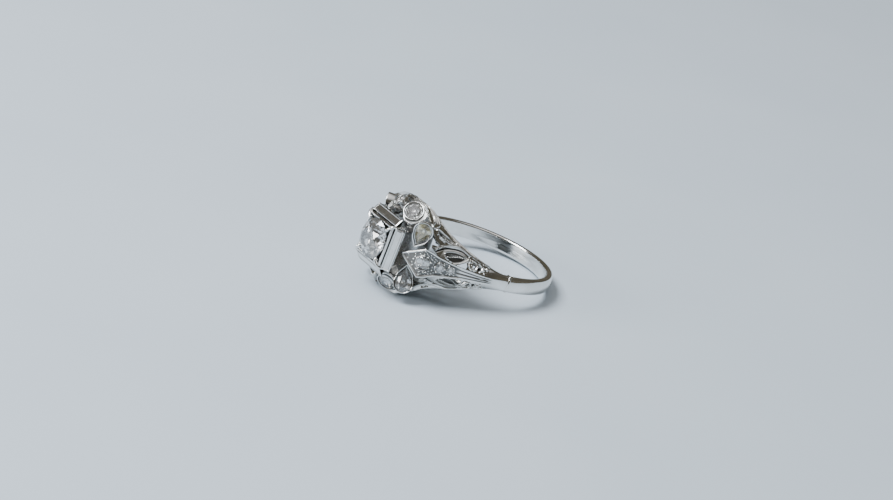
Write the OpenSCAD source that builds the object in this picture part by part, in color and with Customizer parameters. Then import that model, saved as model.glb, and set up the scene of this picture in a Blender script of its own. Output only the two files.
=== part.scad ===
// Old-cut diamond engagement ring with a square box head, eight bezel-set side stones
// and pierced, stone-set shoulders.
// Drawn upright first: X runs across the head from shoulder to shoulder, Y is the finger
// axis and Z points from the finger to the centre stone. lie_down() then puts it on a table.
// "near" is +X, "far" is -X, "north" is +Y and "south" is -Y before it is laid down.
// All lengths in mm.

/* [Finger and shank] */
// Inside diameter of the ring
finger_d = 17; // [14:0.1:22]
// Radial thickness of the plain shank
shank_t = 0.98; // [0.6:0.02:2]
// Width of the plain shank along the finger
shank_w = 1.92; // [1:0.02:4]
// Radius of the dome on the outside of the shank
shank_dome = 2.2; // [1:0.1:6]
// Angle from the head at which the plain shank starts
shank_from = 71; // [60:1:85]
// Angle from the head at which the solid shoulder starts
shoulder_from = 58; // [50:1:65]
// Thickness of the polished rim round the finger opening
rim_t = 0.62; // [0.3:0.02:1]
// Width of that rim
rim_w = 0.6; // [0.3:0.05:1.2]
// Angle from the head of the narrow collar bead
collar_at = 78; // [73:0.5:90]

/* [Box head] */
// Height of the top edge of the box above the finger centre
box_top = 16.2; // [13:0.1:20]
// Height of the foot of the box
box_foot = 10.1; // [9.3:0.1:12]
// Outer half side of the box at its top edge
box_half = 2.56; // [1.5:0.02:4]
// Outer half side of the box at its foot
box_foot_half = 1.9; // [1:0.02:3]
// Wall of the box
box_wall = 0.3; // [0.2:0.02:0.6]
// Outer half side of the sloping panels at their top
panel_half = 2.82; // [2:0.02:4.5]
// How far the panels lean out from top to foot
panel_out = 0.86; // [0:0.05:1.5]
// Drop from the top edge of the box to the top of the panels
panel_drop = 0.3; // [0.3:0.02:1.5]
// Height of the sloping panels
panel_h = 0.65; // [0.5:0.05:3]
// Thickness of the flat panels
panel_t = 0.2; // [0.1:0.02:0.5]
// Radius of the corner posts
prong_r = 0.18; // [0.1:0.01:0.35]
// Height of the corner posts below the top edge of the box
prong_h = 1.6; // [0.6:0.05:3]
// Radius of the grains that hold the centre stone
prong_bead_r = 0.3; // [0.2:0.02:0.6]
// Thickness of the gallery plate under the box
gallery_t = 0.45; // [0.3:0.05:1]

/* [Stones] */
// Radius of the centre stone
centre_r = 2.45; // [1.5:0.05:3.5]
// Height of its girdle above the top edge of the box
stone_lift = 0.18; // [0.1:0.02:0.6]
// Outer radius of the round bezels
round_bezel_r = 1.23; // [0.8:0.05:1.6]
// Radius of the round side stones
round_stone_r = 0.96; // [0.5:0.02:1.3]
// Outer radius of the round end of the pear bezels
pear_bezel_r = 1.2; // [0.8:0.02:1.5]
// Radius of the round end of the pear stones
pear_stone_r = 0.94; // [0.5:0.02:1.2]
// Depth of the bezel cups
bezel_depth = 0.95; // [0.5:0.05:1.5]

/* [Shoulder plates] */
// Thickness of the stone-set plates
plate_t = 0.38; // [0.2:0.02:0.8]
// Width of the raised border of the plates
border_w = 0.24; // [0.1:0.02:0.5]
// Depth of the sunk field inside the border
field_d = 0.12; // [0.05:0.01:0.25]
// Radius of the grains that hold the plate stones
grain_r = 0.17; // [0.08:0.01:0.3]
// Thickness of the pierced side walls
wall_t = 0.4; // [0.25:0.01:0.8]

/* [Hidden] */
$fn = 48;
finger_r = finger_d / 2;
shank_r = finger_r + shank_t;
// Centre and outward direction of the round bezels in the +X +Y quarter
round_at = [1.62, 4.74, 13.4];
round_dir = [0.42, 0.63, 0.66];
// Pointed end, round end and outward direction of the pear bezels in the +X +Y quarter
pear_tip = [4.05, 1.05, 13.38];
pear_end = [4.97, 4.52, 13.38];
pear_dir = [0.72, -0.19, 0.67];
// The far pears are set a little lower and closer to the box
pear_far_shift = [0.45, 0, -0.45];
// Outside line of the plates, from the tip beside the box to the shank, as [x, z]
plate_line = [
    [3.3, 14.4], [6.1, 13.1], [6.75, 10.8], [7.4, 9.2],
    [8.2, 7], [8.75, 5.1], [8.96, 3.1]
];
// Half width of the plates by height, as [z, y]
plate_half = [
    [14.4, 0], [13.1, 1.85], [12.2, 1.62], [11.2, 1.26], [9.5, 0.92],
    [8, 0.7], [6.5, 0.52], [5, 0.4], [3.3, 0.3]
];
// Plate stones in the near plate, as [x, z, lean from vertical, radius]
plate_set = [[5.95, 12.8, 56, 0.84], [6.82, 10.75, 73, 0.6], [7.27, 9.45, 70, 0.42]];
// Half width of the finger opening across the head, as [x, y]
mouth = [
    [-8.3, 1.12], [-7.36, 1.4], [-5.46, 2.15], [-2.9, 3.1], [-1.2, 3.85], [0, 4],
    [1.2, 3.85], [2.9, 3.1], [5.46, 2.15], [7.36, 1.4], [8.3, 1.12]
];
// Side wall in the +Y half: angle from the head, y of its foot, radius and y of its ridge,
// radius and y of its top
wall_foot_r = 9.05;
wall_rows = [
    [0, 4.08, 11, 5.3, 12.45, 5.72], [6, 3.95, 11, 5.3, 12.52, 5.74],
    [12, 3.6, 11, 5.05, 12.55, 5.55], [17, 3.3, 10.9, 4.5, 12.9, 4.8],
    [22, 3, 10.8, 3.9, 13.3, 3.85], [25, 2.85, 10.75, 3.55, 13.9, 2.5],
    [30, 2.6, 10.65, 3.05, 13, 1.28], [36, 2.35, 10.5, 2.65, 12.1, 0.94],
    [41, 2.12, 10.35, 2.28, 11.5, 0.8], [47, 1.88, 10.1, 1.83, 10.9, 0.62],
    [54, 1.6, 9.8, 1.38, 10.4, 0.48], [60, 1.4, 9.6, 1.1, 10.02, 0.4]
];
// The ring rests on the top edge of its south skirt and on the tail of the shank
rest_row = wall_rows[1];
lie_tilt = atan2(rest_row[5] - shank_w / 2, rest_row[4] * cos(rest_row[0]) + shank_r);

function unit(v) = v / norm(v);

// Laying the upright ring on the table
module lie_down() {
    rotate([0, lie_tilt, 0])
        rotate([90, 0, -90])
            children();
}

module metal(tone = 0.8) {
    color([tone, tone, tone])
        lie_down()
            children();
}

module gem() {
    color([0.86, 0.93, 0.97])
        lie_down()
            children();
}

// The same piece in the quarter given by the signs of X and Y
module quarter(sx, sy) {
    mirror([sx < 0 ? 1 : 0, 0, 0])
        mirror([0, sy < 0 ? 1 : 0, 0])
            children();
}

// A profile of [radius, y] swept about the finger between two angles from the head
module arc(from, to) {
    rotate([0, from - 90, 0])
        rotate([-90, 0, 0])
            rotate_extrude(angle = to - from, $fn = 96)
                children();
}

// Shapes drawn as [x, z] and stretched along the finger
module along_finger(length) {
    rotate([90, 0, 0])
        linear_extrude(height = length, center = true)
            children();
}

// Shapes drawn as [z, y] and stretched across the head
module across_head(length) {
    rotate([0, -90, 0])
        linear_extrude(height = length, center = true)
            children();
}

// Local Z turned to the given direction, with local X as near as possible to another one
module facing(at, dir, toward) {
    z = unit(dir);
    y = unit(cross(z, toward));
    x = cross(y, z);
    multmatrix([
        [x.x, y.x, z.x, at.x],
        [x.y, y.y, z.y, at.y],
        [x.z, y.z, z.z, at.z],
        [0, 0, 0, 1]
    ])
        children();
}

// One number of the side wall's rows at an angle between them
function wall_value(a, k) = lookup(abs(a), [for (r = wall_rows) [r[0], r[k]]]);

// Point of the side wall, v running from 0 at its foot to 1 at its top, sunk by d
function wall_point(a, v, d = 0) =
    let (
        foot = [wall_foot_r, wall_value(a, 1)],
        top = [wall_value(a, 4), wall_value(a, 5)],
        pull = 2 * [wall_value(a, 2), wall_value(a, 3)] - (foot + top) / 2,
        at = (1 - v) * (1 - v) * foot + 2 * v * (1 - v) * pull + v * v * top,
        run = (1 - v) * (pull - foot) + v * (top - pull),
        p = at - d * unit([-run.y, run.x])
    )
        [p.x * sin(a), p.y, p.x * cos(a)];

// Bulging side wall between two angles from the head
module wall(from, to, steps) {
    levels = 5;
    ring = 2 * levels;
    points = [
        for (i = [0 : steps])
            let (a = from + (to - from) * i / steps)
                each concat(
                    [for (k = [0 : levels - 1]) wall_point(a, k / (levels - 1))],
                    [for (k = [levels - 1 : -1 : 0]) wall_point(a, k / (levels - 1), wall_t)]
                )
    ];
    sides = [
        for (i = [0 : steps - 1], j = [0 : ring - 1])
            let (a = ring * i + j, b = ring * i + (j + 1) % ring)
                each [[a, a + ring, b + ring], [a, b + ring, b]]
    ];
    ends = [
        for (k = [0 : levels - 2])
            let (a = k, b = ring - 1 - k, c = ring * steps)
                each [
                    [a, a + 1, b - 1], [a, b - 1, b],
                    [c + a, c + b - 1, c + a + 1], [c + a, c + b, c + b - 1]
                ]
    ];
    polyhedron(points = points, faces = concat(sides, ends));
}

// Local Z turned out of the side wall, with local X along it toward the shank
module on_wall(a, v) {
    out = cross(
        wall_point(a, v + 0.02) - wall_point(a, v - 0.02),
        wall_point(a + 1, v) - wall_point(a - 1, v)
    );
    facing(wall_point(a, v), out, wall_point(a + 1, v) - wall_point(a - 1, v))
        children();
}

// Round brilliant with its girdle at the origin
module brilliant(r) {
    intersection() {
        translate([0, 0, -r])
            cylinder(r = r, h = 2 * r);
        union() {
            cylinder(r1 = r * 1.082, r2 = r * 0.62, h = r * 0.34, $fn = 8);
            translate([0, 0, -0.05 * r])
                cylinder(r = r * 1.082, h = 0.06 * r, $fn = 8);
            translate([0, 0, -0.88 * r])
                rotate([0, 0, 11.25])
                    cylinder(r1 = r * 0.06, r2 = r, h = r * 0.84, $fn = 16);
        }
    }
}

// Distance of the pear's edge from its round end's centre, at an angle from its point
function pear_edge(r, reach, q) =
    let (a = acos(r / reach))
        abs(q) >= a ? r : r / cos(a - abs(q)) + 0.18 * r * sin(180 * abs(q) / a);

// Pear outline with its round end at the origin and its point on +X
module pear_outline(r, reach) {
    polygon([
        for (q = [-180 : 7.5 : 179])
            pear_edge(r, reach, q) * [cos(q), sin(q)]
    ]);
}

// --- Shank and finger opening ---

module shank_section(grow = 0) {
    intersection() {
        translate([finger_r, -shank_w / 2 - grow])
            square([shank_t + grow, shank_w + 2 * grow]);
        translate([shank_r - shank_dome, 0])
            circle(r = shank_dome + grow);
    }
}

module shank() {
    metal()
        arc(shank_from, 360 - shank_from)
            shank_section();
}

module collar(side) {
    metal(0.9)
        quarter(side, 1)
            arc(collar_at - 0.8, collar_at + 0.8)
                difference() {
                    shank_section(grow = 0.09);
                    shank_section();
                }
}

module collar_near() collar(1);

module collar_far() collar(-1);

module plate_side() {
    polygon(concat(plate_line, [[3.3, 3.1]]));
}

module shoulder(side) {
    metal()
        quarter(side, 1)
            intersection() {
                arc(shoulder_from, shank_from)
                    translate([finger_r, -2])
                        square([2.2, 4]);
                along_finger(6)
                    translate([-plate_t, -0.8 * plate_t])
                        polygon(concat(plate_line, [[10, 0], [3, 0]]));
                linear_extrude(height = 8)
                    polygon([
                        [6.8, -1.6], [7.9, -1.22], [8.3, -1.02], [9.5, -0.96],
                        [9.5, 0.96], [8.3, 1.02], [7.9, 1.22], [6.8, 1.6]
                    ]);
            }
}

module shoulder_near() shoulder(1);

module shoulder_far() shoulder(-1);

module rim(side) {
    inner = [for (i = [len(mouth) - 1 : -1 : 0]) mouth[i] - [0, rim_w]];
    metal(0.85)
        quarter(1, side)
            intersection() {
                arc(-shoulder_from, shoulder_from)
                    translate([finger_r, 0])
                        square([rim_t, 5]);
                linear_extrude(height = 12)
                    polygon(concat(mouth, inner));
            }
}

module rim_north() rim(1);

module rim_south() rim(-1);

// --- Side walls and their ornament ---

module skirt(side) {
    metal(0.75)
        quarter(1, side)
            wall(-13, 13, 6);
}

module skirt_north() skirt(1);

module skirt_south() skirt(-1);

// Pointed oval along X
module almond(length, width) {
    bow = (length * length + width * width) / (4 * width);
    intersection() {
        translate([0, bow - width / 2])
            circle(r = bow);
        translate([0, width / 2 - bow])
            circle(r = bow);
    }
}

// Openings of a web, as [angle, height on the wall, turn, length, width]
web_openings = [
    [36, 0.78, 18, 3.3, 1.2], [28, 0.74, 4, 2, 0.5], [44.5, 0.93, 6, 1.6, 0.42],
    [38, 0.34, 6, 1.5, 0.4], [51.5, 0.4, 0, 1.2, 0.4], [21, 0.3, -12, 1.6, 0.5]
];

module web(sx, sy) {
    metal(0.75)
        quarter(sx, sy)
            difference() {
                wall(13, 60, 12);
                for (o = web_openings)
                    on_wall(o[0], o[1])
                        rotate([0, 0, o[2]])
                            linear_extrude(height = 2.4, center = true)
                                almond(o[3], o[4]);
            }
}

module web_north_near() web(1, 1);

module web_north_far() web(-1, 1);

module web_south_near() web(1, -1);

module web_south_far() web(-1, -1);

// Open ring of wire
module curl(r, wire, gap_at) {
    difference() {
        circle(r = r);
        circle(r = r - wire);
        rotate([0, 0, gap_at])
            translate([0, -r / 3])
                square([2 * r, 2 * r / 3]);
    }
}

// Leaves, curls and beads laid on a web
module spray(sx, sy) {
    metal(0.9)
        quarter(sx, sy) {
            on_wall(36, 0.78)
                translate([0, 0, -0.38])
                    linear_extrude(height = 0.42)
                        rotate([0, 0, 18])
                            difference() {
                                almond(3.9, 0.85);
                                almond(2, 0.28);
                            }
            on_wall(27.5, 0.74)
                translate([0, 0, -0.3])
                    linear_extrude(height = 0.36)
                        rotate([0, 0, 4])
                            almond(2.9, 0.4);
            on_wall(48.5, 0.66)
                translate([0, 0, -0.12])
                    linear_extrude(height = 0.3)
                        curl(0.5, 0.18, 60);
            on_wall(27, 0.95)
                translate([0, 0, -0.12])
                    linear_extrude(height = 0.3)
                        curl(0.34, 0.14, 180);
            for (b = [[33.5, 0.55, 0.2], [54.5, 0.72, 0.24], [57.5, 0.45, 0.22]])
                translate(wall_point(b[0], b[1]))
                    sphere(r = b[2], $fn = 24);
        }
}

module spray_north_near() spray(1, 1);

module spray_north_far() spray(-1, 1);

module spray_south_near() spray(1, -1);

module spray_south_far() spray(-1, -1);

// --- Box head ---

// Square block that tapers from one half side to another
module taper_block(foot_half, top_half, foot_z, top_z) {
    trapezium = [
        [-foot_half, foot_z], [foot_half, foot_z], [top_half, top_z], [-top_half, top_z]
    ];
    intersection() {
        along_finger(4 * top_half)
            polygon(trapezium);
        rotate([0, 0, 90])
            along_finger(4 * top_half)
                polygon(trapezium);
    }
}

module gallery() {
    metal(0.7)
        translate([0, 0, box_foot - gallery_t])
            linear_extrude(height = gallery_t)
                difference() {
                    union() {
                        square([4.6, 6.4], center = true);
                        square([3.6, 8.2], center = true);
                    }
                    circle(r = 1.45);
                    for (y = [-3.1, 3.1])
                        translate([0, y])
                            circle(r = 0.55);
                }
}

module box() {
    slope = (box_half - box_foot_half) / (box_top - box_foot);
    metal(0.85)
        difference() {
            taper_block(box_foot_half, box_half, box_foot, box_top);
            taper_block(
                box_foot_half - box_wall - slope,
                box_half - box_wall + slope,
                box_foot - 1,
                box_top + 1
            );
            translate([0, 0, box_top + stone_lift - 0.88 * centre_r])
                cylinder(r1 = 0.06 * centre_r, r2 = centre_r, h = 0.84 * centre_r);
        }
}

module panel(turn) {
    slope = (box_half - box_foot_half) / (box_top - box_foot);
    top = box_top - panel_drop;
    foot = top - panel_h;
    inside = box_half - slope * (box_top - foot) - 0.06;
    metal(0.95)
        rotate([0, 0, turn])
            along_finger(2 * box_half + 0.1)
                polygon([
                    [panel_half, top], [panel_half + panel_out, foot],
                    [panel_half + panel_out - 0.14, foot - 0.14], [inside, foot - 0.14],
                    [inside, foot + 0.04], [panel_half + panel_out - 0.32, foot + 0.04],
                    [panel_half - panel_t, top - 0.12]
                ]);
}

module panel_near() panel(0);

module panel_north() panel(90);

module panel_far() panel(180);

module panel_south() panel(270);

module prong(sx, sy) {
    metal(0.95)
        quarter(sx, sy) {
            translate([2.62, 2.62, box_top - prong_h])
                cylinder(r = prong_r, h = prong_h - 0.2, $fn = 24);
            translate([2.62, 2.62, box_top - 0.2])
                sphere(r = prong_r, $fn = 24);
            translate([2.3, 2.3, box_top - 0.05])
                rotate([0, 0, 45])
                    rotate([0, 80, 0])
                        cylinder(r = 0.15, h = 1, center = true, $fn = 24);
            translate([1.91, 1.91, box_top + 0.22])
                sphere(r = prong_bead_r, $fn = 24);
        }
}

module prong_north_near() prong(1, 1);

module prong_north_far() prong(-1, 1);

module prong_south_near() prong(1, -1);

module prong_south_far() prong(-1, -1);

module centre_stone() {
    gem()
        translate([0, 0, box_top + stone_lift])
            brilliant(centre_r);
}

// --- Bezel-set side stones ---

module round_bezel(sx, sy) {
    metal(0.85)
        quarter(sx, sy)
            facing(round_at, round_dir, [1, 0, 0])
                difference() {
                    translate([0, 0, -bezel_depth])
                        cylinder(r1 = 0.8 * round_bezel_r, r2 = round_bezel_r, h = bezel_depth);
                    translate([0, 0, -0.22])
                        cylinder(r = round_stone_r, h = 1);
                    translate([0, 0, -2])
                        cylinder(r = 0.7 * round_stone_r, h = 3);
                    translate([0, 0, -0.22 - 0.5 * round_stone_r])
                        cylinder(
                            r1 = 0.45 * round_stone_r, r2 = 0.99 * round_stone_r,
                            h = 0.5 * round_stone_r + 0.01
                        );
                }
}

module round_bezel_north_near() round_bezel(1, 1);

module round_bezel_north_far() round_bezel(-1, 1);

module round_bezel_south_near() round_bezel(1, -1);

module round_bezel_south_far() round_bezel(-1, -1);

module round_stone(sx, sy) {
    gem()
        quarter(sx, sy)
            facing(round_at, round_dir, [1, 0, 0])
                translate([0, 0, -0.22 + 0.05 * round_stone_r])
                    brilliant(round_stone_r);
}

module round_stone_north_near() round_stone(1, 1);

module round_stone_north_far() round_stone(-1, 1);

module round_stone_south_near() round_stone(1, -1);

module round_stone_south_far() round_stone(-1, -1);

// Pear parts stand on the centre of the round end, with the point toward the plate
module on_pear(sx, sy) {
    run = unit(pear_tip - pear_end);
    translate(sx < 0 ? pear_far_shift : [0, 0, 0])
        quarter(sx, sy)
            facing(pear_end + pear_bezel_r * run, pear_dir, run)
                children();
}

module pear_bezel(sx, sy) {
    reach = norm(pear_tip - pear_end) - pear_bezel_r;
    metal(0.85)
        on_pear(sx, sy)
            difference() {
                translate([0, 0, -bezel_depth])
                    linear_extrude(height = bezel_depth)
                        pear_outline(pear_bezel_r, reach);
                translate([0, 0, -0.24])
                    linear_extrude(height = 1)
                        pear_outline(pear_stone_r, reach * 0.76);
                translate([0, 0, -2])
                    linear_extrude(height = 3)
                        pear_outline(pear_stone_r - 0.05, reach * 0.72);
            }
}

module pear_bezel_north_near() pear_bezel(1, 1);

module pear_bezel_north_far() pear_bezel(-1, 1);

module pear_bezel_south_near() pear_bezel(1, -1);

module pear_bezel_south_far() pear_bezel(-1, -1);

module pear_stone(sx, sy) {
    reach = norm(pear_tip - pear_end) - pear_bezel_r;
    gem()
        on_pear(sx, sy) {
            translate([0, 0, -0.24])
                linear_extrude(height = 0.08)
                    pear_outline(pear_stone_r, reach * 0.76);
            translate([0, 0, -0.16])
                linear_extrude(height = 0.28, scale = 0.62, $fn = 24)
                    pear_outline(pear_stone_r, reach * 0.76);
            translate([0, 0, -0.24])
                mirror([0, 0, 1])
                    linear_extrude(height = 0.6, scale = 0.1, $fn = 24)
                        pear_outline(pear_stone_r - 0.05, reach * 0.72);
        }
}

module pear_stone_north_near() pear_stone(1, 1);

module pear_stone_north_far() pear_stone(-1, 1);

module pear_stone_south_near() pear_stone(1, -1);

module pear_stone_south_far() pear_stone(-1, -1);

// --- Stone-set shoulder plates ---

// Kite outline as [z, y], drawn in from its edge by the given width
module kite(inset) {
    half = [
        for (p = plate_half)
            if (p.y >= inset)
                [p.x - 0.6 * inset, p.y - inset]
    ];
    tip = [[plate_half[0].x - 2.2 * inset, 0]];
    tail = [[half[len(half) - 1].x, 0]];
    polygon(concat(tip, half, tail));
    mirror([0, 1])
        polygon(concat(tip, half, tail));
}

module on_plate(s) {
    facing([s[0], 0, s[1]], [sin(s[2]), 0, cos(s[2])], [0, 1, 0])
        children();
}

module plate(side) {
    metal(0.9)
        quarter(side, 1) {
            difference() {
                intersection() {
                    along_finger(6)
                        difference() {
                            plate_side();
                            translate([-plate_t, -0.8 * plate_t])
                                plate_side();
                        }
                    translate([6, 0, 0])
                        across_head(12)
                            kite(0);
                }
                difference() {
                    translate([6, 0, 0])
                        across_head(12)
                            kite(border_w);
                    along_finger(8)
                        translate([-field_d, -0.8 * field_d])
                            polygon(concat(plate_line, [[2, 3.1], [2, 14.4]]));
                }
                for (s = plate_set)
                    on_plate(s)
                        cylinder(r = s[3] - 0.03, h = 3, center = true);
            }
            for (s = plate_set, a = [45 : 90 : 315])
                on_plate(s)
                    rotate([0, 0, a])
                        translate([s[3] + 0.5 * grain_r, 0, -0.12])
                            sphere(r = grain_r, $fn = 16);
        }
}

module plate_near() plate(1);

module plate_far() plate(-1);

module plate_stone(side, i) {
    s = plate_set[i - 1];
    gem()
        quarter(side, 1)
            on_plate(s)
                brilliant(s[3]);
}

module plate_stone_near_1() plate_stone(1, 1);

module plate_stone_near_2() plate_stone(1, 2);

module plate_stone_near_3() plate_stone(1, 3);

module plate_stone_far_1() plate_stone(-1, 1);

module plate_stone_far_2() plate_stone(-1, 2);

module plate_stone_far_3() plate_stone(-1, 3);

shank();
collar_near();
collar_far();
shoulder_near();
shoulder_far();
rim_north();
rim_south();
skirt_north();
skirt_south();
web_north_near();
web_north_far();
web_south_near();
web_south_far();
spray_north_near();
spray_north_far();
spray_south_near();
spray_south_far();
gallery();
box();
panel_north();
panel_south();
panel_near();
panel_far();
prong_north_near();
prong_north_far();
prong_south_near();
prong_south_far();
centre_stone();
round_bezel_north_near();
round_bezel_north_far();
round_bezel_south_near();
round_bezel_south_far();
round_stone_north_near();
round_stone_north_far();
round_stone_south_near();
round_stone_south_far();
pear_bezel_north_near();
pear_bezel_north_far();
pear_bezel_south_near();
pear_bezel_south_far();
pear_stone_north_near();
pear_stone_north_far();
pear_stone_south_near();
pear_stone_south_far();
plate_near();
plate_far();
plate_stone_near_1();
plate_stone_near_2();
plate_stone_near_3();
plate_stone_far_1();
plate_stone_far_2();
plate_stone_far_3();
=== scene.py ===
import math
import random

import bmesh
import bpy
import numpy as np
from mathutils import Matrix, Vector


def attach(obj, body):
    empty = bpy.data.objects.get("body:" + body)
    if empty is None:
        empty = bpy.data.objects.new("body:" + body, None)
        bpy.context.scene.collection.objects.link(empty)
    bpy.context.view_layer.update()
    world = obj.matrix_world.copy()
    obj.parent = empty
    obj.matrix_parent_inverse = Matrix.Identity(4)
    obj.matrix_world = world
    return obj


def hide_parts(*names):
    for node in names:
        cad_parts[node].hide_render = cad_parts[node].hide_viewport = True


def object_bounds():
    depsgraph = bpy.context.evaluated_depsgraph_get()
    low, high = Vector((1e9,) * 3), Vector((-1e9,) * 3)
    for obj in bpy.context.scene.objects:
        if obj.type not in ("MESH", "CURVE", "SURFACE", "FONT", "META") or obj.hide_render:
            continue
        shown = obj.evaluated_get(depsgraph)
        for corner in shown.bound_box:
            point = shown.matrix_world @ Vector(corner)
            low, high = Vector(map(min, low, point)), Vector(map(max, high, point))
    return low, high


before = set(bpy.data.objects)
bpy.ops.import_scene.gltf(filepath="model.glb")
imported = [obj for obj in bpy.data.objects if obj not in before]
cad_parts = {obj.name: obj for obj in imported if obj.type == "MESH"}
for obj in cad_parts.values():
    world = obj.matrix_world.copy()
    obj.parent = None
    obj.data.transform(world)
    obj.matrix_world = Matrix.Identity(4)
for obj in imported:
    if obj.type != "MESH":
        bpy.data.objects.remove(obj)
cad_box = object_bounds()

# ---------------------------------------------------------------- shared frame
# Everything is worked out upright in mm (x across the head, y along the finger, z up through
# the centre stone), then laid on the table in metres as the CAD is.

FINGER_R = 8.5
SHANK_T = 0.98
SHANK_W = 1.92
WALL_T = 0.4
COLLAR_AT = 78
HALF_POINTS = 26
# side wall by angle from the head: foot y, then (radius, y) of the bulge and of the top edge
ROWS = np.array([
    [0, 4.08, 11, 5.3, 12.45, 5.72], [6, 3.95, 11, 5.3, 12.52, 5.74],
    [12, 3.6, 11, 5.05, 12.55, 5.55], [17, 3.3, 10.9, 4.5, 12.9, 4.8],
    [22, 3, 10.8, 3.9, 13.3, 3.85], [25, 2.85, 10.75, 3.55, 13.9, 2.5],
    [30, 2.6, 10.65, 3.05, 13, 1.28], [36, 2.35, 10.5, 2.65, 12.1, 0.94],
    [41, 2.12, 10.35, 2.28, 11.5, 0.8], [47, 1.88, 10.1, 1.83, 10.9, 0.62],
    [54, 1.6, 9.8, 1.38, 10.4, 0.48], [60, 1.4, 9.6, 1.1, 10.02, 0.4],
])
# half width of the finger opening along x
MOUTH = np.array([[0, 4], [1.2, 3.85], [2.9, 3.1], [5.46, 2.15], [7.36, 1.4], [8.3, 1.12]])
TILT = math.atan2(5.74 - SHANK_W / 2, 12.52 * math.cos(math.radians(6)) + FINGER_R + SHANK_T)
LAY = np.array([
    [0, math.sin(TILT), -math.cos(TILT)],
    [-1, 0, 0],
    [0, math.cos(TILT), math.sin(TILT)],
])
ENDS = ((1, "near"), (-1, "far"))
SIDES = ((1, "north"), (-1, "south"))
QUARTERS = {
    "north_near": (1, 1), "north_far": (-1, 1), "south_near": (1, -1), "south_far": (-1, -1),
}
DICE = random.Random(11)


def unit(v):
    v = np.asarray(v, float)
    return v / np.maximum(np.linalg.norm(v, axis=-1, keepdims=True), 1e-12)


def smooth(x, lo, hi):
    t = np.clip((x - lo) / (hi - lo), 0, 1)
    return t * t * (3 - 2 * t)


def curve(points, n=12, closed=False):
    """A smooth line through the points, n samples to each span."""
    p = np.asarray(points, float)
    if closed:
        p = np.vstack([p[-1], p, p[0], p[1]])
    else:
        p = np.vstack([2 * p[0] - p[1], p, 2 * p[-1] - p[-2]])
    out = []
    for i in range(1, len(p) - 2):
        for k in range(n):
            t = k / n
            out.append(0.5 * (2 * p[i] + (p[i + 1] - p[i - 1]) * t
                              + (2 * p[i - 1] - 5 * p[i] + 4 * p[i + 1] - p[i + 2]) * t * t
                              + (3 * p[i] - p[i - 1] - 3 * p[i + 1] + p[i + 2]) * t ** 3))
    if not closed:
        out.append(p[-2])
    return np.array(out)


def run_of(points):
    """Distance along a line at each of its points."""
    return np.r_[0, np.cumsum(np.linalg.norm(np.diff(points, axis=0), axis=1))]


def resample(points, n):
    """The same line with n evenly spaced points."""
    d = run_of(points)
    s = np.linspace(0, d[-1], n)
    return np.stack([np.interp(s, d, points[:, k]) for k in range(points.shape[1])], 1)


def along(points, step):
    """The same line resampled at an even step."""
    length = run_of(points)[-1]
    return resample(points, max(2, int(round(length / step)) + 1))


def away_from(points, line):
    """Distance of each point from a line of straight spans."""
    best = np.full(len(points), 1e9)
    for a, b in zip(line[:-1], line[1:]):
        d = b - a
        t = np.clip(((points - a) @ d) / max(d @ d, 1e-12), 0, 1)
        best = np.minimum(best, np.linalg.norm(points - a - t[:, None] * d, axis=1))
    return best


class Piece:
    """Vertices, faces and a per-vertex painted-shade value gathered in the upright frame."""

    def __init__(self):
        self.v = []
        self.f = []
        self.c = []
        self.n = 0

    def add(self, v, f, painted_shade=0.0):
        v = np.asarray(v, float).reshape(-1, 3)
        self.v.append(v)
        self.f += [tuple(int(i) + self.n for i in face) for face in f]
        self.c.append(np.broadcast_to(np.asarray(painted_shade, float).reshape(-1), (len(v),)))
        self.n += len(v)

    def moved(self, move, flip=False):
        """A copy with its vertices moved, and its faces turned over if the move mirrors it."""
        q = Piece()
        q.v = [move(v) for v in self.v]
        q.f = [f[::-1] for f in self.f] if flip else list(self.f)
        q.c, q.n = list(self.c), self.n
        return q

    def quarter(self, sx, sy):
        """A copy mirrored into another quarter of the head."""
        return self.moved(lambda v: v * [sx, sy, 1], sx * sy < 0)

    def emit(self, name, material, slot, *nodes, sharp=38, flat=False):
        v = (np.vstack(self.v) @ LAY.T) * 0.001
        mesh = bpy.data.meshes.new(name)
        mesh.from_pydata(v.tolist(), [], self.f)
        mesh.validate()
        mesh.polygons.foreach_set("use_smooth", [not flat] * len(mesh.polygons))
        if not flat:
            mesh.set_sharp_from_angle(angle=math.radians(sharp))
        # per-vertex painted shade, read by the metal materials
        c = mesh.attributes.new("painted_shade", "FLOAT", "POINT")
        c.data.foreach_set("value", np.concatenate(self.c).astype(np.float32))
        mesh.materials.append(material)
        mesh.update()
        obj = bpy.data.objects.new(name, mesh)
        bpy.context.scene.collection.objects.link(obj)
        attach(obj, "root")
        if nodes:
            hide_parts(*nodes)
        return obj


def strip(nu, nv, wrap_u=False, wrap_v=False):
    """Quads of an nu by nv grid of vertices."""
    f = []
    for i in range(nu if wrap_u else nu - 1):
        for j in range(nv if wrap_v else nv - 1):
            a, b = i * nv + j, ((i + 1) % nu) * nv + j
            c, d = ((i + 1) % nu) * nv + (j + 1) % nv, i * nv + (j + 1) % nv
            f.append((a, b, c, d))
    return f


def caps(n, m):
    """Faces that close the two ends of a tube of n rings with m vertices each."""
    return [tuple(range(m))[::-1], tuple((n - 1) * m + i for i in range(m))]


def slab(n, m):
    """Faces of an n by m front sheet, the back sheet behind it and the walls between them."""
    off = n * m
    f = [q[::-1] for q in strip(n, m)]
    f += [tuple(i + off for i in q) for q in strip(n, m)]
    for i in range(n - 1):
        a, b = i * m, (i + 1) * m
        f.append((a, b, off + b, off + a))
        a, b = a + m - 1, b + m - 1
        f.append((b, a, off + a, off + b))
    for j in range(m - 1):
        f.append((j + 1, j, off + j, off + j + 1))
        k = (n - 1) * m + j
        f.append((k, k + 1, off + k + 1, off + k))
    return f


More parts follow.
